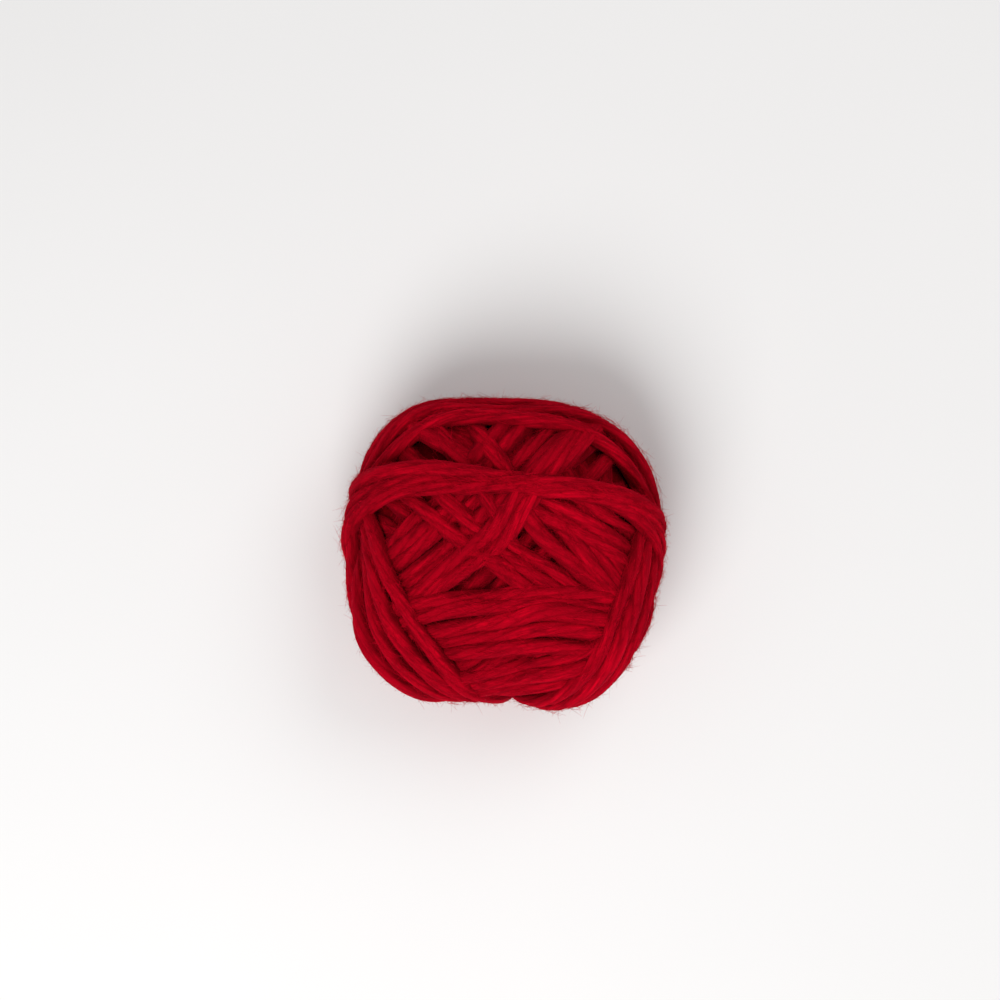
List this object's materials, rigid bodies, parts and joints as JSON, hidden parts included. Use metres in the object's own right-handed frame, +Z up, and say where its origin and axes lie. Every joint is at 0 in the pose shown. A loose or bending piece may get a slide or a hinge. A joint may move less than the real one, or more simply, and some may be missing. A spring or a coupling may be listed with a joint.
{
  "type": "ball of chunky yarn",
  "caption": "Flattened ball of soft chunky yarn, wound in crossing bundles of turns, lying on a small flat spot on its back.",
  "frame": {"origin": "middle of the ball's outline, in the plane of the flat spot that it rests on", "axes": "+Z up through the thickness of the flattened ball, out of its face; +X to the right across the face; +Y to the top of the face"},
  "size_m": [0.11, 0.106, 0.062],
  "materials": {
    "yarn": "soft brushed acrylic yarn of loosely twisted plies, matt with a faint sheen and a short fuzz, deep crimson red"
  },
  "bodies": {
    "root": {"yarn_ball": "yarn"}
  },
  "joints": []
}
